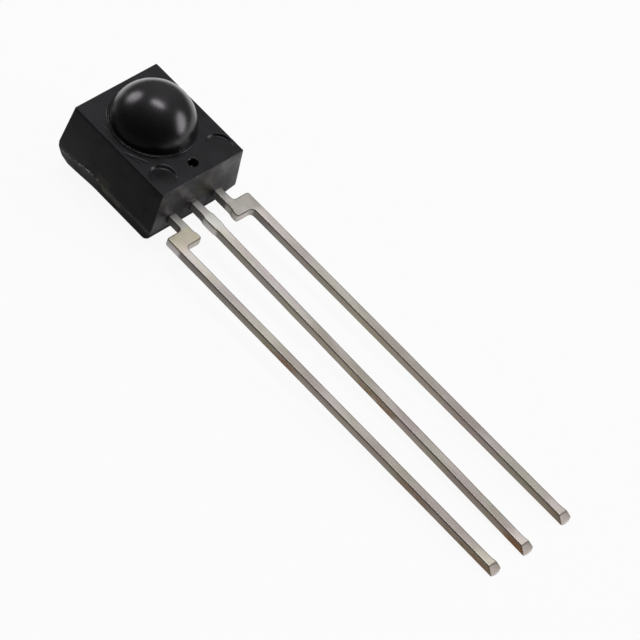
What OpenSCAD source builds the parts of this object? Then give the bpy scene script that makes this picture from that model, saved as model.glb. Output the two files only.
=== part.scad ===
// Three-lead infrared receiver module: a moulded body with a domed lens, a lead frame
// with a die pad, two chips on the pad and the fine wires that join them.
// It lies on its back: the lens looks up, the leads run along -Y. Millimetres.

/* [Moulded body] */
// Width of the front face
front_w = 5.54; // [4.8:0.02:7]
// Height of the front face, from the lead side to the top end
front_h = 6.66; // [6.2:0.02:8]
// Depth of the front half, from the parting line to the front face
front_depth = 2.7; // [2.2:0.05:3.4]
// Depth of the back half, from the back face to the parting line
back_depth = 1.47; // [1.1:0.01:2]
// Draft of the two side walls of the front half, in degrees
side_draft = 4.4; // [1:0.1:8]
// Draft of the top end of the front half, in degrees
top_draft = 5; // [1:0.1:8]
// Draft of the lead side of the front half, in degrees
foot_draft = 2.3; // [1:0.1:6]
// Slope of the sides of the back half, in degrees
back_side_slope = 19.8; // [8:0.1:26]
// Slope of the lead side of the back half, in degrees
back_foot_slope = 18.8; // [8:0.1:26]
// Slope of the top end of the back half, in degrees
back_top_slope = 2.5; // [1:0.1:10]
// Bevel between the back face and the top end
back_bevel = 0.35; // [0.1:0.05:0.6]
// Radius of the four upright corners
corner_r = 0.3; // [0.1:0.05:0.6]

/* [Lens] */
// Radius of the lens dome
lens_r = 2.26; // [1.8:0.02:2.5]
// Depth of the dome's centre below the front face
lens_sink = 0.16; // [0.05:0.01:0.5]
// Height of the lens axis above the middle of the front face
lens_offset = 0.62; // [0.2:0.02:0.7]
// Width of the low ring round the foot of the dome
ring_w = 0.11; // [0.05:0.01:0.2]
// Height of the ring above the front face
ring_h = 0.07; // [0.04:0.01:0.15]

/* [Ejector marks] */
// Radius of the two round marks that the ejector pins leave
mark_r = 0.72; // [0.4:0.02:0.8]
// Depth of the round marks
mark_depth = 0.03; // [0.02:0.01:0.08]
// Distance of each round mark from the middle of the face
mark_x = 1.93; // [1.3:0.01:2]
// Distance of the round marks from the lead side of the face
mark_y = 0.93; // [0.85:0.01:1.2]
// Radius of the small pit between the marks
pit_r = 0.2; // [0.1:0.01:0.3]
// Depth of the pit
pit_depth = 0.08; // [0.04:0.01:0.2]
// Distance of the pit from the lead side of the face
pit_y = 0.8; // [0.5:0.01:1]

/* [Leads] */
// Distance between the solder legs
lead_pitch = 2.54; // [2.3:0.01:2.8]
// Distance between the leads where they leave the body
root_pitch = 1.55; // [1.3:0.01:1.7]
// Width of a solder leg
lead_w = 0.53; // [0.4:0.01:0.7]
// Width of a lead where it leaves the body
root_w = 0.5; // [0.4:0.01:0.6]
// Thickness of the lead frame
frame_t = 0.5; // [0.3:0.01:0.6]
// Length of the middle lead, the longest one, from the body to its cut tip
lead_l = 24.67; // [6:0.01:30]
// Amount by which the left lead is cut shorter than the middle one
left_cut = 0.07; // [0:0.01:0.3]
// Amount by which the right lead is cut shorter than the middle one
right_cut = 0.17; // [0:0.01:0.3]
// Distance from the body to the step where the outer leads spread
step_y = 0.92; // [0.7:0.01:1.5]
// Height of that step, left by the bar that tied the leads together
step_h = 0.95; // [0.7:0.01:1.3]
// Stub of the cut bar on the sides of the leads
stub_w = 0.07; // [0.03:0.01:0.12]
// Angle by which the middle leg leans towards the left one, in degrees
middle_lean = 0.85; // [0:0.05:1.5]

/* [Lead frame inside the body] */
// Width of the die pad
pad_w = 3.5; // [2.8:0.1:4]
// Gap between the die pad and the bond posts of the outer leads
post_gap = 0.35; // [0.25:0.05:0.5]
// Length of a bond post
post_l = 0.95; // [0.8:0.05:1]
// Width of a bond post
post_w = 1.05; // [0.9:0.05:1.1]
// Width of the tie bars that reach the side walls
tie_w = 0.95; // [0.5:0.05:1.1]
// Distance of the tie bars' middle below the photodiode's centre
tie_drop = 0.4; // [0:0.05:0.8]
// Length of root that the moulding holds before a bond post widens
root_seal = 0.35; // [0.2:0.05:0.5]
// Edge of the die pad that stays free beside and below the chips
pad_margin = 0.2; // [0.15:0.01:0.3]
// Edge of the die pad that stays free above the photodiode
pad_rim = 0.3; // [0.1:0.05:0.5]
// Radius of the anchor holes that the moulding flows through
anchor_r = 0.22; // [0.15:0.01:0.3]

/* [Chips and wires] */
// Side of the square photodiode chip
diode_w = 1.9; // [1.4:0.05:2]
// Width of the receiver chip
chip_w = 1.5; // [1:0.05:1.7]
// Height of the receiver chip
chip_h = 0.95; // [0.7:0.05:1.1]
// Thickness of the chips
chip_t = 0.28; // [0.15:0.01:0.35]
// Thickness of the bonding layer under a chip
bond_t = 0.05; // [0.03:0.01:0.08]
// Gap between the two chips
chip_gap = 0.3; // [0.2:0.05:0.4]
// Thickness of a bond wire
wire_d = 0.05; // [0.04:0.01:0.08]
// Distance of a wire's foot from the edge of what it stands on
wire_inset = 0.2; // [0.12:0.01:0.25]
// Depth of a wire loop's centre below its lower foot
loop_sink = 0.06; // [0.03:0.01:0.1]

/* [Hidden] */
$fn = 96;

// Levels along Z
parting_z = back_depth;
front_z = back_depth + front_depth;
frame_top = parting_z + frame_t;
chip_z = frame_top + bond_t;
chip_top = chip_z + chip_t;

// Half widths at the front face, the parting line and the back face
front_x = front_w / 2;
parting_x = front_x + front_depth * tan(side_draft);
back_x = parting_x - back_depth * tan(back_side_slope);

// Ends of the body along Y, measured from the middle of the front face
front_y = front_h / 2;
top_y = front_y + front_depth * tan(top_draft);
foot_y = -front_y - front_depth * tan(foot_draft);
back_top_y = top_y - back_depth * tan(back_top_slope);
back_foot_y = foot_y + back_depth * tan(back_foot_slope);

// The middle of the whole part, from the top end to the lead tips, is the origin
tip_y = foot_y - lead_l;
shift_y = -(top_y + tip_y) / 2;

// Step of the outer leads
step_top = foot_y - step_y;
step_foot = step_top - step_h;

// Pad and posts, from the lead side upwards
post_foot = foot_y + root_seal;
post_top = post_foot + post_l;
pad_foot = post_top + post_gap;
chip_foot = pad_foot + pad_margin;
chip_y = chip_foot + chip_h / 2;
diode_y = max(lens_offset, chip_foot + chip_h + chip_gap + diode_w / 2);
pad_top = diode_y + diode_w / 2 + pad_rim;
tie_y = diode_y - tie_drop;
anchor_x = pad_w / 2 - pad_margin - anchor_r;

// Places of the wire feet
chip_right = chip_w / 2 - wire_inset;
chip_low = chip_foot + wire_inset;
chip_high = chip_foot + chip_h - wire_inset;
diode_low = diode_y - diode_w / 2 + wire_inset;
diode_corner = diode_w / 2 - wire_inset;
post_mid = post_top - wire_inset;
ground_x = pad_w / 2 - wire_inset;

// Small overlap that keeps joined outlines in one piece
join = 0.02;

// Outline of the body across its width
module width_profile() {
    polygon([[-back_x, 0], [back_x, 0], [parting_x, parting_z], [front_x, front_z],
             [-front_x, front_z], [-parting_x, parting_z]]);
}

// Outline of the body along its height, drawn as depth against height
module height_profile() {
    polygon([[back_foot_y, 0], [back_top_y - back_bevel, 0], [back_top_y, back_bevel],
             [top_y, parting_z], [front_y, front_z], [-front_y, front_z], [foot_y, parting_z]]);
}

// Plan of the body at the parting line, with round corners
module plan_outline() {
    x = parting_x - corner_r;
    for (sx = [-x, x])
        for (y = [foot_y + corner_r, top_y - corner_r])
            translate([sx, y])
                circle(r = corner_r);
    translate([-x, foot_y])
        square([2 * x, top_y - foot_y]);
    translate([-parting_x, foot_y + corner_r])
        square([2 * parting_x, top_y - foot_y - 2 * corner_r]);
}

module drafted_block() {
    intersection() {
        translate([0, top_y, 0])
            rotate([90, 0, 0])
                linear_extrude(top_y - foot_y)
                    width_profile();
        translate([-parting_x, 0, 0])
            rotate([90, 0, 90])
                linear_extrude(2 * parting_x)
                    height_profile();
        linear_extrude(front_z)
            plan_outline();
    }
}

module lens_dome() {
    translate([0, lens_offset, front_z - lens_sink])
        sphere(r = lens_r);
    translate([0, lens_offset, front_z - join])
        cylinder(r = lens_r + ring_w, h = ring_h + join);
}

module mould_marks() {
    for (x = [-mark_x, mark_x])
        translate([x, mark_y - front_y, front_z - mark_depth])
            cylinder(r = mark_r, h = mark_depth * 2);
    translate([0, pit_y - front_y, front_z - pit_depth])
        cylinder(r = pit_r, h = pit_depth * 2);
}

// Outer lead on the right side, seen from the front, cut shorter than the middle one
module outer_lead_outline(cut) {
    root_in = root_pitch - root_w / 2;
    root_out = root_pitch + root_w / 2;
    leg_in = lead_pitch - lead_w / 2;
    leg_out = lead_pitch + lead_w / 2;
    leg_end = tip_y + cut;
    stub_top = step_foot + step_h / 2;
    polygon([[root_in, post_foot], [root_in, stub_top], [root_in - stub_w, stub_top],
             [root_in - stub_w, step_foot], [leg_in, step_foot], [leg_in, leg_end],
             [leg_out, leg_end], [leg_out, step_top], [root_out, step_top],
             [root_out, post_foot]]);
    translate([root_in, post_foot - join])
        square([post_w, post_l + join]);
}

module middle_lead_outline() {
    translate([-root_w / 2, step_foot])
        square([root_w, pad_foot - step_foot + join]);
    translate([-root_w / 2 - stub_w, step_foot])
        square([root_w + 2 * stub_w, step_h]);
    translate([0, step_foot])
        rotate(-middle_lean)
            translate([-lead_w / 2, tip_y - step_foot])
                square([lead_w, step_foot - tip_y + step_h / 2]);
}

module pad_outline() {
    difference() {
        union() {
            translate([-pad_w / 2, pad_foot])
                square([pad_w, pad_top - pad_foot]);
            translate([-parting_x, tie_y - tie_w / 2])
                square([2 * parting_x, tie_w]);
        }
        for (x = [-anchor_x, anchor_x])
            translate([x, chip_y])
                circle(r = anchor_r);
    }
}

module frame_sheet() {
    translate([0, 0, parting_z])
        linear_extrude(frame_t)
            children();
}

// The tie bars end in the drafted side walls
module pad_and_middle_lead() {
    intersection() {
        frame_sheet()
            pad_outline();
        drafted_block();
    }
    frame_sheet()
        middle_lead_outline();
}

module left_frame() {
    mirror([1, 0, 0])
        frame_sheet()
            outer_lead_outline(left_cut);
}

module right_frame() {
    frame_sheet()
        outer_lead_outline(right_cut);
}

module diode_block(z, t) {
    translate([-diode_w / 2, diode_y - diode_w / 2, z])
        cube([diode_w, diode_w, t]);
}

module chip_block(z, t) {
    translate([-chip_w / 2, chip_foot, z])
        cube([chip_w, chip_h, t]);
}

// Wire that loops from a foot at a to a foot at b: the part of a ring above both feet
module bond_wire(a, b) {
    run = norm([b[0] - a[0], b[1] - a[1]]);
    turn = atan2(b[1] - a[1], b[0] - a[0]);
    ring_z = min(a[2], b[2]) - loop_sink;
    rise_a = a[2] - ring_z;
    rise_b = b[2] - ring_z;
    ring_x = (run * run + rise_b * rise_b - rise_a * rise_a) / (2 * run);
    ring_r = norm([ring_x, rise_a]);
    loop_z = ring_z + ring_r + wire_d;
    translate([a[0], a[1], 0])
        rotate([90, 0, turn])
            intersection() {
                translate([ring_x, ring_z])
                    rotate_extrude()
                        translate([ring_r, 0])
                            circle(d = wire_d);
                translate([0, 0, -wire_d])
                    linear_extrude(2 * wire_d)
                        polygon([[-wire_d, a[2]], [ring_x, a[2]], [ring_x, b[2]],
                                 [run + wire_d, b[2]], [run + wire_d, loop_z], [-wire_d, loop_z]]);
            }
}

module diode_wire() {
    bond_wire([-diode_corner, diode_low, chip_top], [-chip_right, chip_high, chip_top]);
}

module output_wire() {
    bond_wire([-chip_right, chip_low, chip_top], [-root_pitch, post_mid, frame_top]);
}

module supply_wire() {
    bond_wire([chip_right, chip_low, chip_top], [root_pitch, post_mid, frame_top]);
}

module ground_wire() {
    bond_wire([chip_right, chip_high, chip_top], [ground_x, chip_high, frame_top]);
}

// Everything that the moulding closes round
module insert_space() {
    pad_and_middle_lead();
    left_frame();
    right_frame();
    diode_block(frame_top, bond_t + chip_t);
    chip_block(frame_top, bond_t + chip_t);
    diode_wire();
    output_wire();
    supply_wire();
    ground_wire();
}

module place() {
    translate([0, shift_y, 0])
        children();
}

module moulded_body() {
    color([0.10, 0.10, 0.11])
        place()
            difference() {
                union() {
                    drafted_block();
                    lens_dome();
                }
                mould_marks();
                insert_space();
            }
}

module lead_left() {
    color([0.72, 0.70, 0.64])
        place()
            left_frame();
}

module lead_middle() {
    color([0.70, 0.68, 0.62])
        place()
            pad_and_middle_lead();
}

module lead_right() {
    color([0.74, 0.72, 0.66])
        place()
            right_frame();
}

module photodiode_chip() {
    color([0.20, 0.22, 0.38])
        place()
            diode_block(chip_z, chip_t);
}

module receiver_chip() {
    color([0.42, 0.44, 0.48])
        place()
            chip_block(chip_z, chip_t);
}

module photodiode_bond() {
    color([0.66, 0.66, 0.64])
        place()
            diode_block(frame_top, bond_t);
}

module receiver_bond() {
    color([0.66, 0.66, 0.64])
        place()
            chip_block(frame_top, bond_t);
}

module wire_diode() {
    color([0.86, 0.68, 0.30])
        place()
            diode_wire();
}

module wire_output() {
    color([0.86, 0.68, 0.30])
        place()
            output_wire();
}

module wire_supply() {
    color([0.86, 0.68, 0.30])
        place()
            supply_wire();
}

module wire_ground() {
    color([0.86, 0.68, 0.30])
        place()
            ground_wire();
}

moulded_body();
lead_left();
lead_middle();
lead_right();
photodiode_chip();
receiver_chip();
photodiode_bond();
receiver_bond();
wire_diode();
wire_output();
wire_supply();
wire_ground();
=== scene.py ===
import math

import bmesh
import bpy
from mathutils import Matrix, Vector, noise

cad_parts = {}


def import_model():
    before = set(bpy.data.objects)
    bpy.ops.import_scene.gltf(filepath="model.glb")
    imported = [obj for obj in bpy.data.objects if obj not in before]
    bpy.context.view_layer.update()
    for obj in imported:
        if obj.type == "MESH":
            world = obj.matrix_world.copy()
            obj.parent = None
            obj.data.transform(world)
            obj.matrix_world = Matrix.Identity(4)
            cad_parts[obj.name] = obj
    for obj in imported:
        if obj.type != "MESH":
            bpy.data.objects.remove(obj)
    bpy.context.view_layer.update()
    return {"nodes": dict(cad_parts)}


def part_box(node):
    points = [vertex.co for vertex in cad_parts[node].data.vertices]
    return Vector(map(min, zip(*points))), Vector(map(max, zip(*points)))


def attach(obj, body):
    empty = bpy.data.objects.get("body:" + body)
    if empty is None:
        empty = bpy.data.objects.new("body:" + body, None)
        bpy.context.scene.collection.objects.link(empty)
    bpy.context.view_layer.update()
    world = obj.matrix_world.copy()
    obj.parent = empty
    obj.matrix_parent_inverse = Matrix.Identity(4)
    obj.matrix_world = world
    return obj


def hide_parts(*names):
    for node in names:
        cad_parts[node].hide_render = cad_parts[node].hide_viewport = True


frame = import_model()

MM = 0.001

# Places that the frame gives
BODY_LOW, BODY_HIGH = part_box("moulded_body")
LEFT_LOW, LEFT_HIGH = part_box("lead_left")
MIDDLE_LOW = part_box("lead_middle")[0]
RIGHT_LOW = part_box("lead_right")[0]
FRAME_LOW = LEFT_LOW[2]
FRAME_TOP = LEFT_HIGH[2]
FOOT_Y = BODY_LOW[1]
TOP_Y = BODY_HIGH[1]
TIP_Y = MIDDLE_LOW[1]
LEFT_TIP_Y = LEFT_LOW[1]
RIGHT_TIP_Y = RIGHT_LOW[1]

# Moulded body
FRONT_DEPTH = 2.7 * MM
PARTING_X = BODY_HIGH[0]
PARTING_Z = FRAME_LOW
FACE_Z = PARTING_Z + FRONT_DEPTH
SIDE_DRAFT = math.radians(4.4)
TOP_DRAFT = math.radians(5)
FOOT_DRAFT = math.radians(2.3)
BACK_SIDE_SLOPE = math.radians(19.8)
BACK_FOOT_SLOPE = math.radians(18.8)
BACK_TOP_SLOPE = math.radians(2.5)
BACK_BEVEL = 0.35 * MM
FACE_FOOT_Y = FOOT_Y + FRONT_DEPTH * math.tan(FOOT_DRAFT)
FACE_TOP_Y = TOP_Y - FRONT_DEPTH * math.tan(TOP_DRAFT)
FACE_MID_Y = (FACE_FOOT_Y + FACE_TOP_Y) / 2

# Tie bar of the lead frame, whose cut ends show in the side walls
TIE_Y = FACE_MID_Y + 0.22 * MM
TIE_W = 0.95 * MM

# The left wall's parting line runs lower towards the top end
LOW_LINE_DROP = 0.33 * MM
LOW_LINE_START = FACE_MID_Y + 0.8 * MM
LOW_LINE_END = FACE_MID_Y + 3.0 * MM

# Painted reflection of the leads on the foot wall: an olive patch
LEAD_REFLECTION_X = 0.44 * MM
LEAD_REFLECTION_Z = 2.83 * MM
LEAD_REFLECTION_HALF_WIDTH = 0.75 * MM
LEAD_REFLECTION_HALF_HEIGHT = 0.7 * MM

# Lens
LENS_R = 2.28 * MM
LENS_SINK = 0.185 * MM
LENS_X = 0.04 * MM
LENS_Y = FACE_MID_Y + 0.56 * MM
RING_W = 0.11 * MM
RING_H = 0.07 * MM

# Leads
PITCH = 2.54 * MM
ROOT_PITCH = 1.55 * MM
LEAD_W = 0.53 * MM
ROOT_W = 0.5 * MM
STEP_TOP = FOOT_Y - 0.92 * MM
STEP_FOOT = STEP_TOP - 0.95 * MM
STUB_W = 0.07 * MM
STUB_SLOPE = 0.06 * MM
MIDDLE_LEAN = math.radians(0.85)
OUTER_ROUND = 0.16 * MM
INNER_ROUND = 0.25 * MM
EDGE_ROUND = 0.075 * MM
OUTLINE_STEP = 0.25 * MM
SHEAR_WAVE = 0.007 * MM
SHEAR_WAVE_SIZE = 1.6 * MM
FLAT_INSET = 0.02 * MM
FLAT_SIDES = 12
BEVEL_ANGLE = math.radians(35)
SHARP_ANGLE = math.radians(40)

# Cut ends of the leads: the slant, and how far the far side flares out and is pinched up
CUT_SLANT = 0.36 * MM
FLARE = 0.16 * MM
PINCH = 0.18 * MM
SLANT_LENGTH = 1 * MM
END_LENGTH = 2 * MM
FLARE_START = 0.8 * MM
FLARE_FULL = 0.15 * MM

# Patches of rust: distance below the body and half length in millimetres, and strength
LEFT_STAINS = [(9.4, 1.6, 0.7), (19.0, 1.8, 0.45), (23.0, 2.6, 0.6)]
MIDDLE_STAINS = [(14.2, 2.6, 0.6), (24.2, 1.5, 1.0)]
RIGHT_STAINS = [(24.0, 1.0, 0.2)]

# Colours of the epoxy, all linear: in the mould's own finish, clouded, with painted light on the face and a
# painted reflection of the leads on the foot
EPOXY_IOR = 1.54
EPOXY_SPECULAR_TINT = (1.0, 0.95, 1.0, 1.0)
FACE_DARK = (0.002, 0.0016, 0.0022)
FACE_LIGHT = (0.0075, 0.0065, 0.0085)
FACE_PAINTED_LIGHT = (0.014, 0.0125, 0.0155)
WALL_DARK = (0.0040, 0.0034, 0.0048)
WALL_LIGHT = (0.0085, 0.0074, 0.0095)
WALL_OLIVE = (0.030, 0.029, 0.012)
WALL_KHAKI = (0.085, 0.081, 0.060)
WALL_CHIPPED = (0.45, 0.43, 0.45)
WALL_PALE = (0.052, 0.049, 0.053)
FOOT_DARK = (0.003, 0.0026, 0.0034)
FOOT_CLOUD = (0.026, 0.024, 0.028)
FOOT_LEAD_REFLECTION = (0.022, 0.022, 0.010)
LENS_DARK = (0.0022, 0.002, 0.0025)
LENS_LIGHT = (0.003, 0.0028, 0.0033)

# Colours of the leads
RUST = (0.44, 0.24, 0.105)
CUT_METAL = (0.92, 0.87, 0.84)
EDGE_PAINTED_SHADE = (0.20, 0.18, 0.16)
GREEN_GREY = (0.97, 0.97, 0.90)
PINK_GREY = (1.0, 0.95, 0.965)


def lerp(a, b, t):
    return a + (b - a) * t


def smooth(edge0, edge1, x):
    t = min(1.0, max(0.0, (x - edge0) / (edge1 - edge0)))
    return t * t * (3 - 2 * t)


def ripple(point, scale, depth=3):
    """Smooth noise from about -1 to 1 at a feature size of scale metres."""
    return noise.fractal(Vector(point) / scale, 1.0, 2.0, depth) / 1.2


def new_object(name, bm, materials):
    mesh = bpy.data.meshes.new(name)
    bm.to_mesh(mesh)
    bm.free()
    obj = bpy.data.objects.new(name, mesh)
    bpy.context.collection.objects.link(obj)
    for material in materials:
        mesh.materials.append(material)
    return obj


class Nodes:
    """A material with short calls for its node tree."""

    def __init__(self, name):
        self.material = bpy.data.materials.new(name)
        self.material.use_nodes = True
        self.tree = self.material.node_tree
        self.tree.nodes.clear()
        self.out = self.tree.nodes.new("ShaderNodeOutputMaterial")
        self.coord = self.tree.nodes.new("ShaderNodeTexCoord")
        self.shader = self.tree.nodes.new("ShaderNodeBsdfPrincipled")
        self.link(self.shader.outputs[0], self.out.inputs["Surface"])

    def link(self, a, b):
        self.tree.links.new(a, b)

    def put(self, socket, value):
        """Links an output to the socket, or sets the socket's own value."""
        if hasattr(value, "is_linked"):
            self.link(value, socket)
        else:
            socket.default_value = value

    def noise(self, size, detail=3.0, rough=0.55, stretch=(1, 1, 1), seed=0.0):
        """Noise of features of size metres; stretch above 1 makes them longer that way."""
        move = self.tree.nodes.new("ShaderNodeMapping")
        move.inputs["Location"].default_value = (seed, seed * 0.7, -seed)
        move.inputs["Scale"].default_value = [1 / (size * s) for s in stretch]
        self.link(self.coord.outputs["Object"], move.inputs["Vector"])
        tex = self.tree.nodes.new("ShaderNodeTexNoise")
        tex.inputs["Scale"].default_value = 1.0
        tex.inputs["Detail"].default_value = detail
        tex.inputs["Roughness"].default_value = rough
        self.link(move.outputs[0], tex.inputs["Vector"])
        return tex.outputs["Fac"]

    def spread(self, fac, low, high, to_low=0.0, to_high=1.0):
        """Soft step of fac: to_low at low, to_high at high, and level beyond both."""
        node = self.tree.nodes.new("ShaderNodeMapRange")
        node.interpolation_type = "SMOOTHSTEP"
        self.put(node.inputs["Value"], fac)
        node.inputs["From Min"].default_value = low
        node.inputs["From Max"].default_value = high
        node.inputs["To Min"].default_value = to_low
        node.inputs["To Max"].default_value = to_high
        return node.outputs[0]

    def ramp(self, fac, stops):
        """Colours blended along fac; stops are (position, colour)."""
        node = self.tree.nodes.new("ShaderNodeValToRGB")
        self.put(node.inputs["Fac"], fac)
        elements = node.color_ramp.elements
        for i, (position, colour) in enumerate(stops):
            element = elements[i] if i < 2 else elements.new(position)
            element.position = position
            element.color = (*colour, 1.0)
        return node.outputs["Color"]

    def times(self, a, b):
        return self.math("MULTIPLY", a, b)

    def plus(self, a, b):
        return self.math("ADD", a, b)

    def math(self, kind, a, b=0.0):
        node = self.tree.nodes.new("ShaderNodeMath")
        node.operation = kind
        self.put(node.inputs[0], a)
        self.put(node.inputs[1], b)
        return node.outputs[0]

    def spread_linear(self, value, low, high):
        """Share of the way from low to high, from 0 to 1."""
        node = self.tree.nodes.new("ShaderNodeMapRange")
        self.put(node.inputs["Value"], value)
        node.inputs["From Min"].default_value = low
        node.inputs["From Max"].default_value = high
        return node.outputs[0]

    def blend(self, a, b):
        """Product of two colours."""
        node = self.tree.nodes.new("ShaderNodeMix")
        node.data_type = "RGBA"
        node.blend_type = "MULTIPLY"
        node.inputs["Factor"].default_value = 1.0
        self.link(a, node.inputs[6])
        self.link(b, node.inputs[7])
        return node.outputs[2]

    def mix(self, fac, a, b):
        node = self.tree.nodes.new("ShaderNodeMix")
        node.data_type = "RGBA"
        self.put(node.inputs["Factor"], fac)
        for socket, value in ((node.inputs[6], a), (node.inputs[7], b)):
            self.put(socket, (*value, 1.0) if isinstance(value, tuple) else value)
        return node.outputs[2]

    def bump(self, height, distance, strength=1.0, normal=None):
        node = self.tree.nodes.new("ShaderNodeBump")
        node.inputs["Strength"].default_value = strength
        node.inputs["Distance"].default_value = distance
        self.link(height, node.inputs["Height"])
        if normal is not None:
            self.link(normal, node.inputs["Normal"])
        return node.outputs[0]

    def axis(self, source, index):
        node = self.tree.nodes.new("ShaderNodeSeparateXYZ")
        self.link(source, node.inputs[0])
        return node.outputs[index]

    def place(self, index):
        """The object's own x, y or z, which is the frame's."""
        return self.axis(self.coord.outputs["Object"], index)

    def facing(self, index):
        """The surface normal's x, y or z in the part's frame."""
        return self.axis(self.coord.outputs["Normal"], index)


def epoxy(name, base, tint, rough, specular, grain, wave=0.05 * MM, swell=0.25):
    """Black infrared-passing epoxy: nearly black, with cloudy gloss and faint flow marks."""
    n = Nodes(name)
    cloud = n.noise(1.3 * MM, detail=4, seed=3.1)
    fine = n.noise(0.12 * MM, detail=3, seed=7.7)
    colour = n.mix(n.spread(cloud, 0.35, 0.7), base, tint)
    smear = n.spread(n.noise(0.7 * MM, detail=5, seed=1.3, stretch=(1, 2.2, 1)), 0.38, 0.72)
    n.put(n.shader.inputs["Roughness"], n.spread(smear, 0, 1, *rough))
    n.shader.inputs["Specular IOR Level"].default_value = specular
    n.shader.inputs["Specular Tint"].default_value = EPOXY_SPECULAR_TINT
    n.shader.inputs["IOR"].default_value = EPOXY_IOR
    n.put(n.shader.inputs["Base Color"], colour)
    soft = n.bump(cloud, wave, swell)
    n.put(n.shader.inputs["Normal"], n.bump(fine, grain, 0.6, soft))
    return n, colour


def face_epoxy_painted_light(name):
    """Front face: paler towards the top end, which is painted light."""
    n, colour = epoxy(name, FACE_DARK, FACE_LIGHT, (0.30, 0.44), 0.33, 0.002 * MM)
    # Painted light: the base colour grows paler towards the top end
    painted_light = n.spread(n.place(1), FACE_MID_Y - 1 * MM, FACE_MID_Y + 3 * MM, 0, 0.45)
    n.put(n.shader.inputs["Base Color"], n.mix(painted_light, colour, FACE_PAINTED_LIGHT))
    return n.material


def wall_epoxy_with_bar(name):
    """Side wall: the cut end of a tie bar shows as an olive patch with a khaki smear below it. Chips
    along the parting line are pale on the left wall's far half, and the strip below it on its near half."""
    n, colour = epoxy(name, WALL_DARK, WALL_LIGHT, (0.36, 0.52), 0.22, 0.005 * MM)
    ragged = n.times(n.math("SUBTRACT", n.noise(0.3 * MM, detail=4, seed=2.9), 0.5), 0.7 * MM)
    y = n.plus(n.place(1), ragged)
    z = n.plus(n.place(2), n.times(ragged, 0.6))

    def band(value, low, high, blur):
        rise = n.spread(value, low - blur, low + blur)
        return n.times(rise, n.spread(value, high - blur, high + blur, 1, 0))

    bar = n.times(band(y, TIE_Y - TIE_W / 2, TIE_Y + TIE_W / 2, 0.08 * MM),
                  band(z, PARTING_Z - 0.22 * MM, FRAME_TOP - 0.08 * MM, 0.06 * MM))
    smear = n.times(band(y, TIE_Y - 1.35 * MM, TIE_Y + 0.1 * MM, 0.12 * MM),
                    band(z, PARTING_Z - 0.75 * MM, PARTING_Z - 0.12 * MM, 0.07 * MM))
    colour = n.mix(n.times(bar, 0.85), colour, WALL_OLIVE)
    colour = n.mix(n.times(smear, 0.8), colour, WALL_KHAKI)

    fleck = n.spread(n.noise(0.2 * MM, detail=5, rough=0.65, seed=6.3), 0.50, 0.62)
    fleck = n.times(fleck, n.spread(n.place(1), TIE_Y - 0.2 * MM, TIE_Y + 0.7 * MM))
    fleck = n.times(fleck, n.spread(n.place(0), -2.75 * MM, -2.86 * MM, 0.12, 1.0))
    line = n.plus(n.place(2), n.spread(n.place(1), LOW_LINE_START, LOW_LINE_END, 0, LOW_LINE_DROP))
    line = n.plus(line, n.times(ragged, 0.25))
    for offset, wide, share in ((0.0, 0.06, 0.95), (-0.17, 0.035, 0.6)):
        near = band(line, PARTING_Z + (offset - wide) * MM, PARTING_Z + (offset + wide) * MM, 0.015 * MM)
        chips = n.times(n.times(near, fleck), share)
        colour = n.mix(chips, colour, WALL_CHIPPED)

    pale = n.times(band(line, PARTING_Z - 0.30 * MM, PARTING_Z - 0.05 * MM, 0.04 * MM),
                   n.spread(n.place(1), TIE_Y - 0.3 * MM, TIE_Y - 1.0 * MM, 0, 0.9))
    pale = n.times(pale, n.spread(n.noise(0.8 * MM, detail=3, seed=4.9), 0.25, 0.6))
    n.put(n.shader.inputs["Base Color"], n.mix(pale, colour, WALL_PALE))
    return n.material


def cloudy_epoxy(name):
    """Foot wall: glossy and wavy from the gate, with pale clouds and an olive patch of painted reflection
    of the leads.
    """
    n = Nodes(name)
    wave = n.noise(1.3 * MM, detail=1.5, seed=4.2)
    cloud = n.spread(n.noise(0.9 * MM, detail=2, seed=8.8), 0.46, 0.62)
    gloss = n.spread(n.noise(1.6 * MM, detail=2, seed=3.3), 0.35, 0.65, 0.32, 0.50)
    n.put(n.shader.inputs["Roughness"], gloss)
    n.shader.inputs["Specular IOR Level"].default_value = 0.34
    n.shader.inputs["Specular Tint"].default_value = EPOXY_SPECULAR_TINT
    n.shader.inputs["IOR"].default_value = EPOXY_IOR
    colour = n.mix(cloud, FOOT_DARK, FOOT_CLOUD)
    # Painted reflection of the leads: an olive patch in the base colour
    away_x = n.math(
        "POWER", n.math("DIVIDE", n.math("SUBTRACT", n.place(0), LEAD_REFLECTION_X), LEAD_REFLECTION_HALF_WIDTH), 2.0)
    away_z = n.math(
        "POWER", n.math("DIVIDE", n.math("SUBTRACT", n.place(2), LEAD_REFLECTION_Z), LEAD_REFLECTION_HALF_HEIGHT), 2.0)
    lead_reflection = n.spread(n.plus(away_x, away_z), 1.6, 0.2)
    colour = n.mix(n.times(lead_reflection, 0.8), colour, FOOT_LEAD_REFLECTION)
    n.put(n.shader.inputs["Base Color"], colour)
    n.put(n.shader.inputs["Normal"], n.bump(wave, 0.16 * MM, 0.7))
    return n.material


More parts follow.
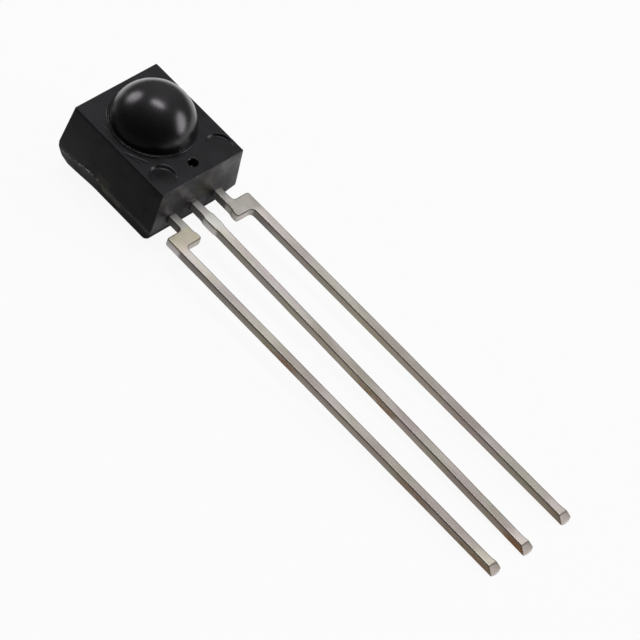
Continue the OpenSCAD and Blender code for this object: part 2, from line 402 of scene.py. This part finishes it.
def tinned(name, shoulder, stains, end_side, seed):
    """Tin plate on a steel strip. Along a lead: a grey root with dark sides, a bright shoulder where
    the tie bar was sheared off, a dull leg and a bright end. Stains are patches of rust on the sheared
    sides: millimetres below the body, half length and strength."""
    n = Nodes(name)
    patch = n.noise(1.1 * MM, detail=4, seed=2.2 + seed, stretch=(1, 2.6, 1))
    streak = n.noise(0.3 * MM, detail=3, seed=5.4 + seed, stretch=(1, 7, 1))
    along = n.spread_linear(n.place(1), FOOT_Y, TIP_Y)
    length = FOOT_Y - TIP_Y

    def at(mm):
        return mm * MM / length

    top = n.ramp(along, [
        (0.0, (0.74, 0.74, 0.75)), (1.0, (0.82, 0.77, 0.74)), (at(0.85), (0.76, 0.75, 0.75)),
        (at(1.0), shoulder), (at(1.8), shoulder), (at(2.2), (0.90, 0.87, 0.84)),
        (at(3.8), (0.78, 0.75, 0.72)), (at(5.5), (0.66, 0.64, 0.62)), (at(11), (0.58, 0.55, 0.53)),
        (at(21), (0.54, 0.51, 0.49)), (at(23), (0.57, 0.54, 0.51)), (at(23.9), (0.78, 0.74, 0.71))])
    side = n.ramp(along, [
        (0.0, (0.30, 0.29, 0.30)), (1.0, end_side), (at(0.85), (0.36, 0.35, 0.35)),
        (at(0.95), (0.99, 0.97, 1.0)), (at(1.85), (0.97, 0.95, 0.95)), (at(2.0), (0.46, 0.44, 0.42)),
        (at(6), (0.50, 0.48, 0.43)), (at(10), (0.58, 0.53, 0.47)), (at(15), (0.57, 0.52, 0.47)),
        (at(20), (0.47, 0.43, 0.39)), (at(23.4), (0.44, 0.38, 0.32))])
    shade = n.mix(n.spread(patch, 0.3, 0.7), (0.82, 0.80, 0.77), (1.0, 1.0, 1.0))
    shade = n.mix(n.spread(streak, 0.5, 0.75, 0, 0.3), shade, (0.66, 0.63, 0.56))
    drift = n.spread(n.noise(1.7 * MM, detail=2, seed=9.1 + seed, stretch=(1, 2, 1)), 0.40, 0.60)
    shade = n.blend(shade, n.mix(drift, GREEN_GREY, PINK_GREY))

    # Top and underside have one colour and the sheared sides another; rounded edges get painted shade,
    # which damps the lamps' glint on them
    up = n.math("ABSOLUTE", n.facing(2))
    plate = n.mix(n.spread(up, 0.3, 0.97), side, top)
    plate = n.blend(plate, shade)
    # Painted shade on the rounded edges between top and side
    corner = n.times(n.spread(up, 0.2, 0.6), n.spread(up, 0.999, 0.96))
    plate = n.mix(n.times(corner, 0.55), plate, EDGE_PAINTED_SHADE)

    # The cut end is bare metal
    cut = n.spread(n.facing(1), -0.85, -0.45, 1, 0)
    beyond = n.spread(n.place(1), STEP_FOOT - 2 * MM, STEP_FOOT - 4 * MM)
    plate = n.mix(n.times(cut, n.times(beyond, 0.9)), plate, CUT_METAL)

    # Rust is on the sheared sides only, and strongest at their lower edge
    rust_noise = n.noise(0.5 * MM, detail=4, rough=0.6, seed=4.4 + seed, stretch=(1, 3.5, 1))
    rust = 0.0
    for place, half, amount in stains:
        off = n.math("ABSOLUTE", n.math("SUBTRACT", n.place(1), FOOT_Y - place * MM))
        rust = n.math("MAXIMUM", rust, n.spread(off, half * MM, 0.2 * half * MM, 0, amount))
    rust = n.times(rust, n.spread(rust_noise, 0.36, 0.56))
    rust = n.times(rust, n.spread(up, 0.95, 0.4))
    rust = n.times(rust, n.math("SUBTRACT", 1.0, cut))
    rust = n.times(rust, n.spread(n.place(2), FRAME_TOP, FRAME_LOW + 0.15 * MM, 0.35, 1.0))
    n.put(n.shader.inputs["Base Color"], n.mix(rust, plate, RUST))
    n.put(n.shader.inputs["Metallic"], n.spread(rust, 0, 1, 1, 0.3))
    gloss = n.plus(n.spread(patch, 0.3, 0.75, 0.36, 0.48), n.spread(up, 0.8, 0.98, 0.18, 0))
    gloss = n.plus(gloss, n.times(corner, 0.4))
    n.put(n.shader.inputs["Roughness"], n.plus(gloss, n.times(rust, 0.3)))
    soft = n.bump(patch, 0.03 * MM, 0.3)
    n.put(n.shader.inputs["Normal"], n.bump(streak, 0.006 * MM, 0.4, soft))
    return n.material


def silicon(name, dark, light, rough):
    """Chip surface, with fine cells in two shades."""
    n = Nodes(name)
    cells = n.noise(0.09 * MM, detail=2, seed=6.6)
    n.put(n.shader.inputs["Base Color"], n.mix(n.spread(cells, 0.4, 0.6), dark, light))
    n.shader.inputs["Roughness"].default_value = rough
    n.shader.inputs["Metallic"].default_value = 0.4
    return n.material


def bond_paste(name):
    """Silver-filled adhesive, with fine flakes."""
    n = Nodes(name)
    flake = n.noise(0.03 * MM, detail=4, seed=8.2)
    n.put(n.shader.inputs["Base Color"], n.mix(flake, (0.42, 0.42, 0.4), (0.68, 0.68, 0.66)))
    n.shader.inputs["Roughness"].default_value = 0.55
    n.put(n.shader.inputs["Normal"], n.bump(flake, 0.004 * MM))
    return n.material


def gold(name):
    """Drawn gold wire."""
    n = Nodes(name)
    drawn = n.noise(0.02 * MM, detail=3, seed=1.9)
    n.put(n.shader.inputs["Base Color"], n.mix(drawn, (0.78, 0.53, 0.17), (0.9, 0.68, 0.3)))
    n.shader.inputs["Metallic"].default_value = 1.0
    n.shader.inputs["Roughness"].default_value = 0.22
    return n.material


def level(z):
    """Shape of the moulded body at a height z: half width, foot, top end, corner radius."""
    if z >= PARTING_Z:
        d = z - PARTING_Z
        half = PARTING_X - d * math.tan(SIDE_DRAFT)
        foot = FOOT_Y + d * math.tan(FOOT_DRAFT)
        top = TOP_Y - d * math.tan(TOP_DRAFT)
        radius = lerp(0.07, 0.06, d / FRONT_DEPTH) * MM
    else:
        d = PARTING_Z - z
        half = PARTING_X - d * math.tan(BACK_SIDE_SLOPE)
        foot = FOOT_Y + d * math.tan(BACK_FOOT_SLOPE)
        top = TOP_Y - d * math.tan(BACK_TOP_SLOPE) - max(0.0, BACK_BEVEL - z)
        radius = lerp(0.07, 0.26, d / PARTING_Z) * MM
    return half, foot, top, radius


# Points along a side and round a corner of the body, and its material slots
SIDE_STEPS = 150
CORNER_STEPS = 14
FACE_SLOT = 0
WALL_SLOT = 1
FOOT_SLOT = 2


def outline(half, foot, top, radius):
    """Round-cornered rectangle as a ring of points, from the right foot corner counter-clockwise."""
    corners = [(half - radius, foot + radius, -90), (half - radius, top - radius, 0),
               (-half + radius, top - radius, 90), (-half + radius, foot + radius, 180)]
    points = []
    for i, (cx, cy, start) in enumerate(corners):
        for k in range(CORNER_STEPS + 1):
            a = math.radians(start + 90 * k / CORNER_STEPS)
            points.append((cx + radius * math.cos(a), cy + radius * math.sin(a)))
        nx, ny, nstart = corners[(i + 1) % 4]
        a = math.radians(nstart)
        end = (nx + radius * math.cos(a), ny + radius * math.sin(a))
        first = points[-1]
        for k in range(1, SIDE_STEPS):
            t = k / SIDE_STEPS
            points.append((lerp(first[0], end[0], t), lerp(first[1], end[1], t)))
    return points


# Ejector marks and the pit between them
MARK_X = 1.93 * MM
MARK_Y = FACE_FOOT_Y + 0.93 * MM
MARKS = [(-MARK_X, MARK_Y), (MARK_X, MARK_Y)]
MARK_R = 0.72 * MM
MARK_DEPTH = 0.13 * MM
PIT = (0.0, FACE_FOOT_Y + 0.8 * MM)
PIT_R = 0.24 * MM
PIT_DEPTH = 0.42 * MM


def on_face(x, y):
    """A place on the front face, given in millimetres from the face's middle."""
    return x * MM, FACE_MID_Y + y * MM


# Scratches beside the lens: both ends, half width and depth
SCRATCHES = [
    (on_face(-2.45, 1.9), on_face(-2.32, 1.3), 0.04 * MM, 0.012 * MM),
    (on_face(-2.6, -0.2), on_face(-2.0, -1.3), 0.05 * MM, 0.014 * MM),
    (on_face(-2.45, -0.5), on_face(-2.3, -1.2), 0.04 * MM, 0.010 * MM),
    (on_face(-2.6, -2.2), on_face(-1.4, -2.0), 0.03 * MM, 0.006 * MM),
    (on_face(1.2, -1.75), on_face(1.9, -1.85), 0.04 * MM, 0.010 * MM),
]


def face_height(x, y):
    """Height of the front face's detail: ejector marks with a sharp far rim, pit, scratches, sinks."""
    z = 0.0
    for mx, my in MARKS:
        r = math.hypot(x - mx, y - my)
        far_side = ((x - mx) * 0.6 + (y - my) * 0.8) / MARK_R
        t = min(1.0, max(0.0, (MARK_R + 0.02 * MM - r) / (0.12 * MM)))
        z -= MARK_DEPTH * (1 - (1 - t) ** 2) * smooth(-0.7, 1.0, far_side)
    r = math.hypot(x - PIT[0], (y - PIT[1]) * 1.1)
    z -= PIT_DEPTH * smooth(PIT_R + 0.06 * MM, PIT_R - 0.1 * MM, r)
    for (ax, ay), (bx, by), wide, deep in SCRATCHES:
        length = math.hypot(bx - ax, by - ay)
        t = ((x - ax) * (bx - ax) + (y - ay) * (by - ay)) / length ** 2
        if -0.2 < t < 1.2:
            off = ((x - ax) * (by - ay) - (y - ay) * (bx - ax)) / length
            fade = smooth(-0.2, 0.2, t) * smooth(1.2, 0.8, t)
            z -= deep * fade * math.exp(-(off / wide) ** 2)
    z += 0.006 * MM * ripple((x, y, 0), 1.1 * MM)
    return z


def wall_shift(x, y, z):
    """How far the wall is set back from its nominal place, for flash and chips at the parting line."""
    # In millimetres: height above the parting plane, the wandering line, and what is lost there
    d = (z - PARTING_Z) / MM
    line = 0.045 * ripple((x, y, 0), 0.5 * MM) + 0.02
    chip = max(0.0, ripple((x, y, 0.4 * MM), 0.22 * MM))
    groove = math.exp(-((d - line) / 0.035) ** 2)
    lip = math.exp(-((d - line + 0.07) / 0.03) ** 2)
    if x < 0:
        groove *= 1 - 0.9 * smooth(FACE_MID_Y + 0.3 * MM, FACE_MID_Y + 1.3 * MM, y)
    back = 0.004 + 0.03 * groove * (0.5 + chip) - 0.004 * lip
    back += 0.003 * ripple((x, y, z), 0.8 * MM)
    return max(0.0, back) * MM


def low_line(x, y, z):
    """Extra width of the left wall near the top end, where its parting line runs lower."""
    if x > 0:
        return 0.0
    drop = LOW_LINE_DROP * smooth(LOW_LINE_START, LOW_LINE_END, y)
    return min(max(0.0, PARTING_Z - z), drop) * math.tan(BACK_SIDE_SLOPE)


WALL_BACK_FILLET = 0.05 * MM
WALL_FACE_FILLET = 0.04 * MM


def wall_levels():
    """Heights of the wall's rings with the inset of the fillet at each end."""
    rows = []
    for k in range(6):
        a = math.pi / 2 * k / 6
        rows.append((WALL_BACK_FILLET * (1 - math.cos(a)), WALL_BACK_FILLET * (1 - math.sin(a))))
    steps_back = 14
    low, high = WALL_BACK_FILLET, PARTING_Z - 0.2 * MM
    rows += [(lerp(low, high, k / steps_back), 0.0) for k in range(steps_back)]
    steps_mid = 22
    low, high = high, PARTING_Z + 0.2 * MM
    rows += [(lerp(low, high, k / steps_mid), 0.0) for k in range(steps_mid)]
    steps_front = 12
    low, high = high, FACE_Z - WALL_FACE_FILLET
    rows += [(lerp(low, high, k / steps_front), 0.0) for k in range(steps_front + 1)]
    for k in range(1, 6):
        a = math.pi / 2 * k / 5
        rows.append((high + WALL_FACE_FILLET * math.sin(a), WALL_FACE_FILLET * (1 - math.cos(a))))
    return rows


def body_shell(materials):
    """Body without its lens: one skin of rings from the back up to the front face."""
    bm = bmesh.new()
    rings = []
    for z, inset in wall_levels():
        half, foot, top, radius = level(min(z, FACE_Z))
        pts = outline(half - inset, foot + inset, top - inset, max(radius - inset * 0.6, 0.02 * MM))
        ring = []
        cy = (foot + top) / 2
        for x, y in pts:
            back = wall_shift(x, y, z)
            ox = 1 if x > 0 else -1
            oy = 1 if y > cy else -1
            near_side = abs(x) > half - radius
            near_end = min(abs(y - foot), abs(y - top)) < radius
            sx = x - ox * (back - low_line(x, y, z)) if near_side else x
            sy = y - oy * back if near_end else y
            ring.append(bm.verts.new((sx, sy, z)))
        rings.append(ring)
    count = len(rings[0])

    foot_first = count - SIDE_STEPS
    for a, b in zip(rings, rings[1:]):
        for i in range(count):
            j = (i + 1) % count
            f = bm.faces.new((a[i], a[j], b[j], b[i]))
            f.smooth = True
            f.material_index = FOOT_SLOT if i >= foot_first else WALL_SLOT

    def cap(edge, z, steps, height, slot, upward):
        """Closes an end with rings that shrink towards its middle, raised by height(x, y)."""
        cx = sum(v.co.x for v in edge) / count
        cy = sum(v.co.y for v in edge) / count
        before = edge
        for k in range(1, steps):
            t = 1 - k / steps
            fade = smooth(0, 2.5, k)
            ring = []
            for v in edge:
                x, y = cx + (v.co.x - cx) * t, cy + (v.co.y - cy) * t
                ring.append(bm.verts.new((x, y, z + fade * height(x, y))))
            for i in range(count):
                j = (i + 1) % count
                quad = (before[i], before[j], ring[j], ring[i])
                f = bm.faces.new(quad if upward else quad[::-1])
                f.smooth = True
                f.material_index = slot
            before = ring
        f = bm.faces.new(before if upward else before[::-1])
        f.material_index = slot

    cap(rings[-1], FACE_Z, 64, face_height, FACE_SLOT, True)
    cap(rings[0], 0.0, 5, lambda x, y: 0.0, WALL_SLOT, False)
    return new_object("body_shell", bm, materials)


def lathe(name, profile, steps, centre, materials):
    """Turns a profile of (radius, height) about an upright axis; the last point is on the axis."""
    bm = bmesh.new()
    rings = []
    for r, z in profile[:-1]:
        ring = []
        for i in range(steps):
            a = 2 * math.pi * i / steps
            ring.append(bm.verts.new((centre[0] + r * math.cos(a), centre[1] + r * math.sin(a), z)))
        rings.append(ring)
    for a, b in zip(rings, rings[1:]):
        for i in range(steps):
            j = (i + 1) % steps
            bm.faces.new((a[i], a[j], b[j], b[i])).smooth = True
    pole = bm.verts.new((centre[0], centre[1], profile[-1][1]))
    for i in range(steps):
        bm.faces.new((rings[-1][i], rings[-1][(i + 1) % steps], pole)).smooth = True
    return new_object(name, bm, materials)


def lens_piece(materials):
    """Dome with a low ring round its foot and a fine groove between them."""
    centre_z = FACE_Z - LENS_SINK
    ring_r = LENS_R + RING_W
    top = FACE_Z + RING_H
    corner = 0.03 * MM
    profile = [(ring_r + 0.01 * MM, FACE_Z - 0.1 * MM), (ring_r, top - corner)]
    for k in range(1, 6):
        a = math.pi / 2 * k / 5
        profile.append((ring_r - corner * (1 - math.cos(a)), top - corner + corner * math.sin(a)))
    foot_r = math.sqrt(LENS_R ** 2 - (top - centre_z) ** 2)
    profile.append((foot_r + 0.035 * MM, top - 0.004 * MM))
    profile.append((foot_r + 0.012 * MM, top - 0.03 * MM))
    start = math.asin((top - centre_z) / LENS_R)
    rows = 90
    for k in range(rows + 1):
        a = lerp(start, math.pi / 2, k / rows)
        profile.append((LENS_R * math.cos(a), centre_z + LENS_R * math.sin(a)))
    return lathe("lens_dome", profile, 256, (LENS_X, LENS_Y), materials)


def fine_outline(corners, step):
    """Closed outline with points no further apart than step."""
    points = []
    for i, a in enumerate(corners):
        b = corners[(i + 1) % len(corners)]
        count = max(1, math.ceil(math.dist(a, b) / step))
        for k in range(count):
            points.append((lerp(a[0], b[0], k / count), lerp(a[1], b[1], k / count)))
    return points


def round_corners(corners, sharp):
    """Outline with its corners rounded, tighter outside than inside; sharp ones stay as they are."""
    points = []
    count = len(corners)
    for i, p in enumerate(corners):
        a, b = corners[i - 1], corners[(i + 1) % count]
        if i in sharp:
            points.append(p)
            continue
        cross = (p[0] - a[0]) * (b[1] - p[1]) - (p[1] - a[1]) * (b[0] - p[0])
        reach = OUTER_ROUND if cross > 0 else INNER_ROUND
        ends = []
        for q in (a, b):
            length = math.dist(p, q)
            cut = min(reach, 0.45 * length) / length
            ends.append((lerp(p[0], q[0], cut), lerp(p[1], q[1], cut)))
        for k in range(6):
            t = k / 5
            points.append(tuple((1 - t) ** 2 * ends[0][c] + 2 * t * (1 - t) * p[c] + t * t * ends[1][c]
                                for c in (0, 1)))
    return points


def lead_piece(name, corners, sharp, tip, material, seed):
    """A strip cut to an outline, with slightly uneven sheared sides, rounded edges and a pinched end."""
    bm = bmesh.new()
    verts = []
    if sum(a[0] * b[1] - b[0] * a[1] for a, b in zip(corners, corners[1:] + corners[:1])) < 0:
        corners = corners[::-1]
        sharp = {len(corners) - 1 - i for i in sharp}
    for x, y in fine_outline(round_corners(corners, sharp), OUTLINE_STEP):
        wobble = SHEAR_WAVE * ripple((x, y, seed), SHEAR_WAVE_SIZE)
        verts.append(bm.verts.new((x + wobble, max(y, tip), FRAME_LOW)))
    base = bm.faces.new(verts)
    if base.normal.z > 0:
        base.normal_flip()
    made = bmesh.ops.extrude_face_region(bm, geom=[base])
    top = [v for v in made["geom"] if isinstance(v, bmesh.types.BMVert)]
    bmesh.ops.translate(bm, vec=(0, 0, FRAME_TOP - FRAME_LOW), verts=top)
    for v in top:
        v.co.y += CUT_SLANT * max(0.0, 1 - (v.co.y - tip) / SLANT_LENGTH)
    end = [v for v in bm.verts if v.co.y < tip + END_LENGTH]
    middle = sum(v.co.x for v in end) / len(end)
    for v in end:
        if v.co.x > middle:
            low = v.co.z < FRAME_LOW + 0.01 * MM
            near = smooth(tip + FLARE_START, tip + FLARE_FULL, v.co.y)
            v.co.x += FLARE * near * (1.0 if low else 0.5)
            v.co.z += PINCH * near * (1.0 if low else 0.0)
    bmesh.ops.recalc_face_normals(bm, faces=bm.faces)
    edges = [e for e in bm.edges if len(e.link_faces) == 2 and e.calc_face_angle(0) > BEVEL_ANGLE]
    bmesh.ops.bevel(bm, geom=edges, offset=EDGE_ROUND, segments=4, profile=0.5, affect="EDGES")
    flats = [f for f in bm.faces if len(f.verts) > FLAT_SIDES]
    bmesh.ops.inset_individual(bm, faces=flats, thickness=FLAT_INSET)
    bmesh.ops.triangulate(bm, faces=[f for f in bm.faces if len(f.verts) > 4])
    for f in bm.faces:
        f.smooth = True
    obj = new_object(name, bm, [material])
    obj.data.set_sharp_from_angle(angle=SHARP_ANGLE)
    return obj


def outer_outline(side, tip):
    """Visible stretch of an outer lead; side is 1 for the right one, -1 for the left one."""
    root_in = ROOT_PITCH - ROOT_W / 2
    root_out = ROOT_PITCH + ROOT_W / 2
    leg_in = PITCH - LEAD_W / 2
    leg_out = PITCH + LEAD_W / 2
    inside = FOOT_Y + 1.3 * MM
    stub_y = lerp(STEP_FOOT, STEP_TOP, 0.5)
    points = [(root_in, inside), (root_in, stub_y + STUB_SLOPE), (root_in - STUB_W, stub_y - STUB_SLOPE),
              (root_in - STUB_W, STEP_FOOT), (leg_in, STEP_FOOT), (leg_in, tip),
              (leg_out, tip), (leg_out, STEP_TOP), (root_out, STEP_TOP), (root_out, inside)]
    return [(side * x, y) for x, y in points][::side]


# Corners of an outer lead that stay sharp: the buried end and the cut end
OUTER_SHARP_RIGHT = {0, 5, 6, 9}
OUTER_SHARP_LEFT = {9 - i for i in OUTER_SHARP_RIGHT}

# The same corners of the middle lead
MIDDLE_SHARP = {0, 5, 6, 11}


def middle_outline():
    root = ROOT_W / 2
    bulge = root + STUB_W
    half = LEAD_W / 2
    lean = math.tan(MIDDLE_LEAN) * (STEP_FOOT - TIP_Y)
    inside = FOOT_Y + 1.65 * MM
    high, low = STEP_TOP + STUB_SLOPE, STEP_FOOT - STUB_SLOPE
    return [(-root, inside), (-root, high), (-bulge, high - 2 * STUB_SLOPE), (-bulge, low + 2 * STUB_SLOPE),
            (-half, low), (-half - lean, TIP_Y), (half - lean, TIP_Y), (half, low),
            (bulge, low + 2 * STUB_SLOPE), (bulge, high - 2 * STUB_SLOPE), (root, high), (root, inside)]


def assign(node, material):
    obj = frame["nodes"][node]
    obj.data.materials.clear()
    obj.data.materials.append(material)


def floor_material():
    """White to the camera, with the object's shadow kept. What the object's reflections see of it is
    brightest to the right and beyond the top end, dim to the left, and dark under the body."""
    n = Nodes("floor_white")
    n.shader.inputs["Base Color"].default_value = (0.82, 0.82, 0.82, 1)
    n.shader.inputs["Roughness"].default_value = 0.9
    n.shader.inputs["Specular IOR Level"].default_value = 0.0
    glow = n.tree.nodes.new("ShaderNodeEmission")
    glow.inputs["Color"].default_value = (1, 1, 1, 1)
    path = n.tree.nodes.new("ShaderNodeLightPath")
    x = n.place(0)
    y = n.place(1)

    # Light side, with a dimmer corner beside the body
    right = n.spread(x, 2.4 * MM, 5.6 * MM)
    corner = n.times(n.spread(x, 6 * MM, 7.5 * MM), n.spread(y, 10.5 * MM, 8.5 * MM))
    right = n.times(right, n.math("SUBTRACT", 1.0, n.times(corner, 0.6)))
    far = n.times(n.spread(y, TOP_Y + 2 * MM, TOP_Y + 8 * MM), n.spread(x, -1 * MM, 4 * MM))
    bright = n.times(n.math("MAXIMUM", right, far), 1.12)

    # Left of the part: beside the leads but not right before the foot, beside the body, beyond its top end
    left = n.spread(x, -11 * MM, -2 * MM)
    past_foot = n.spread(y, FOOT_Y - 0.35 * MM, FOOT_Y + 0.2 * MM, 0.62, 0)
    before_foot = n.times(n.spread(x, -1.2 * MM, -0.4 * MM),
                          n.spread(y, FOOT_Y - 2.8 * MM, FOOT_Y - 2.2 * MM))
    by_leads = n.times(past_foot, n.math("SUBTRACT", 1.0, n.times(before_foot, 0.6)))
    by_body = n.times(n.spread(y, FOOT_Y - 0.35 * MM, FOOT_Y + 0.2 * MM),
                      n.spread(x, -3.5 * MM, -2.9 * MM, 0.36, 0.05))
    by_top = n.spread(y, TOP_Y - 4 * MM, TOP_Y + 1 * MM, 0, 0.25)
    strength = n.plus(n.times(left, n.plus(by_leads, n.plus(by_body, by_top))), n.plus(bright, 0.03))

    # The glow fades out further away
    for place, end, start in ((x, -20, -13), (y, -27, -19), (x, 50, 28), (y, 55, 32)):
        strength = n.times(strength, n.spread(place, end * MM, start * MM, 0.2, 1.0))

    seen = n.math("MAXIMUM", path.outputs["Is Camera Ray"], path.outputs["Is Transmission Ray"])
    n.put(glow.inputs["Strength"], n.plus(seen, n.times(n.math("SUBTRACT", 1.0, seen), strength)))
    share = n.math("MAXIMUM", n.times(seen, 0.92), n.times(path.outputs["Is Glossy Ray"], 0.85))
    mix = n.tree.nodes.new("ShaderNodeMixShader")
    n.link(share, mix.inputs[0])
    n.link(n.shader.outputs[0], mix.inputs[1])
    n.link(glow.outputs[0], mix.inputs[2])
    n.link(mix.outputs[0], n.out.inputs["Surface"])
    return n.material


FLOOR_HALF = 0.6


def floor():
    """The body's lower back edge and the lead tips carry the part, so the floor leans to them."""
    back_foot = FOOT_Y + PARTING_Z * math.tan(BACK_FOOT_SLOPE)
    lean = math.atan2(FRAME_LOW, back_foot - TIP_Y)
    bm = bmesh.new()
    bmesh.ops.create_grid(bm, x_segments=4, y_segments=4, size=FLOOR_HALF)
    bmesh.ops.rotate(bm, matrix=Matrix.Rotation(-lean, 3, "X"), verts=bm.verts, cent=(0, 0, 0))
    bmesh.ops.translate(bm, vec=(0, back_foot, 0), verts=bm.verts)
    obj = new_object("floor", bm, [floor_material()])


WORLD_LOW = 0.06
WORLD_HIGH = 0.68
WORLD_CURVE = 4.5
WORLD_BRIGHTEST = Vector((0.5, 0.35, 0.79)).normalized()


def world():
    """White to the camera; elsewhere a soft light, brightest from above the right and far side."""
    w = bpy.data.worlds.new("studio")
    bpy.context.scene.world = w
    w.use_nodes = True
    tree = w.node_tree
    tree.nodes.clear()
    out = tree.nodes.new("ShaderNodeOutputWorld")
    white = tree.nodes.new("ShaderNodeBackground")
    white.inputs["Color"].default_value = (1, 1, 1, 1)
    soft = tree.nodes.new("ShaderNodeBackground")
    coord = tree.nodes.new("ShaderNodeTexCoord")
    dot = tree.nodes.new("ShaderNodeVectorMath")
    dot.operation = "DOT_PRODUCT"
    dot.inputs[1].default_value = WORLD_BRIGHTEST
    tree.links.new(coord.outputs["Generated"], dot.inputs[0])
    ramp = tree.nodes.new("ShaderNodeMapRange")
    ramp.inputs["From Min"].default_value = -1.0
    tree.links.new(dot.outputs["Value"], ramp.inputs["Value"])
    curve = tree.nodes.new("ShaderNodeMath")
    curve.operation = "POWER"
    curve.inputs[1].default_value = WORLD_CURVE
    tree.links.new(ramp.outputs[0], curve.inputs[0])
    strength = tree.nodes.new("ShaderNodeMath")
    strength.operation = "MULTIPLY_ADD"
    strength.inputs[1].default_value = WORLD_HIGH - WORLD_LOW
    strength.inputs[2].default_value = WORLD_LOW
    tree.links.new(curve.outputs[0], strength.inputs[0])
    tree.links.new(strength.outputs[0], soft.inputs["Strength"])
    path = tree.nodes.new("ShaderNodeLightPath")
    mix = tree.nodes.new("ShaderNodeMixShader")
    tree.links.new(path.outputs["Is Camera Ray"], mix.inputs[0])
    tree.links.new(soft.outputs[0], mix.inputs[1])
    tree.links.new(white.outputs[0], mix.inputs[2])
    tree.links.new(mix.outputs[0], out.inputs["Surface"])


LENS_CENTRE = Vector((0, LENS_Y, FACE_Z))
LIGHT_DISTANCE = 0.25


def softbox(name, direction, along, size, radiance):
    """Area light on the sphere of directions round the lens: its long axis lies along the given one."""
    data = bpy.data.lights.new(name, "AREA")
    data.shape = "ELLIPSE"
    data.size, data.size_y = size
    data.energy = radiance * math.pi * size[0] * size[1] * math.pi / 4
    obj = bpy.data.objects.new(name, data)
    bpy.context.collection.objects.link(obj)
    back = Vector(direction).normalized()
    long_axis = Vector(along)
    long_axis = (long_axis - long_axis.dot(back) * back).normalized()
    turn = Matrix((long_axis.cross(back), long_axis, back)).transposed().to_4x4()
    obj.matrix_world = Matrix.Translation(LENS_CENTRE + back * LIGHT_DISTANCE) @ turn


def lights():
    softbox("light_back", (-0.08, 0.89, 0.44), (0.17, -0.20, 0.78), (0.11, 0.14), 4.3)
    softbox("light_top", (0.15, 0.11, 0.98), (0.26, -0.66, 0.03), (0.060, 0.15), 7.6)
    softbox("light_right", (0.62, -0.69, 0.36), (-0.28, -0.44, -0.62), (0.11, 0.19), 4.8)


# The camera as it was found from the photograph, in the body's frame: the middle of the face is 0
CAMERA_AZIMUTH = math.radians(-60.465)
CAMERA_ELEVATION = math.radians(49.811)
CAMERA_ROLL = math.radians(21.886)
CAMERA_DISTANCE = 185.9 * MM
CAMERA_SLIDE = (-8.967 * MM, 7.006 * MM)
FOCAL_PIXELS = 3677.9
FRAME_PIXELS = 640
SENSOR = 36.0


def camera():
    """Looks down on the part from its left, turned about its own axis as the photograph is."""
    a, e, r = CAMERA_AZIMUTH, CAMERA_ELEVATION, CAMERA_ROLL
    towards = Vector((math.sin(a) * math.cos(e), -math.cos(a) * math.cos(e), math.sin(e)))
    right = Vector((math.cos(a), math.sin(a), 0))
    up = towards.cross(right)
    turned_right = right * math.cos(r) + up * math.sin(r)
    turned_up = up * math.cos(r) - right * math.sin(r)
    place = (Vector((0, FACE_MID_Y, 0)) + towards * CAMERA_DISTANCE
             - turned_right * CAMERA_SLIDE[0] - turned_up * CAMERA_SLIDE[1])
    data = bpy.data.cameras.new("camera")
    data.sensor_width = SENSOR
    data.lens = SENSOR * FOCAL_PIXELS / FRAME_PIXELS
    data.clip_start = 0.01
    data.clip_end = 5.0
    obj = bpy.data.objects.new("camera", data)
    bpy.context.collection.objects.link(obj)
    turn = Matrix((turned_right, turned_up, towards)).transposed().to_4x4()
    obj.matrix_world = Matrix.Translation(place) @ turn
    bpy.context.scene.camera = obj


camera()
lights()
world()
floor()

face_epoxy = face_epoxy_painted_light("epoxy_face")
foot_epoxy = cloudy_epoxy("epoxy_foot")
wall_epoxy = wall_epoxy_with_bar("epoxy_wall")
lens_epoxy = epoxy("epoxy_lens", LENS_DARK, LENS_LIGHT, (0.24, 0.28), 0.5,
                   grain=0.0006 * MM, wave=0.03 * MM, swell=0.2)[0].material

shell = body_shell([face_epoxy, wall_epoxy, foot_epoxy])
dome = lens_piece([lens_epoxy])
for piece in (shell, dome):
    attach(piece, "root")
    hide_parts("moulded_body")

left_tin = tinned("tin_left", shoulder=(0.82, 0.78, 0.67), stains=LEFT_STAINS,
                  end_side=(0.36, 0.28, 0.22), seed=0.0)
left_strip = lead_piece("left_strip", outer_outline(-1, LEFT_TIP_Y), OUTER_SHARP_LEFT, LEFT_TIP_Y,
                        left_tin, 0.0)
middle_tin = tinned("tin_middle", shoulder=(0.93, 0.92, 0.94), stains=MIDDLE_STAINS,
                    end_side=(0.34, 0.24, 0.17), seed=3.0)
middle_strip = lead_piece("middle_strip", middle_outline(), MIDDLE_SHARP, TIP_Y, middle_tin, 3 * MM)
right_tin = tinned("tin_right", shoulder=(0.64, 0.63, 0.61), stains=RIGHT_STAINS,
                   end_side=(0.30, 0.27, 0.23), seed=6.0)
right_strip = lead_piece("right_strip", outer_outline(1, RIGHT_TIP_Y), OUTER_SHARP_RIGHT, RIGHT_TIP_Y,
                         right_tin, 6 * MM)
strips = [("lead_left", left_strip), ("lead_middle", middle_strip), ("lead_right", right_strip)]
for node, piece in strips:
    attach(piece, "root")
    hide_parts(node)

assign("photodiode_chip", silicon("silicon_diode", (0.02, 0.025, 0.08), (0.04, 0.05, 0.13), 0.15))
assign("receiver_chip", silicon("silicon_circuit", (0.16, 0.17, 0.2), (0.34, 0.35, 0.38), 0.25))
paste = bond_paste("bond_paste")
assign("photodiode_bond", paste)
assign("receiver_bond", paste)
gold_wire = gold("gold_wire")
for name in ("wire_diode", "wire_output", "wire_supply", "wire_ground"):
    assign(name, gold_wire)

bpy.context.scene.view_settings.view_transform = "Standard"
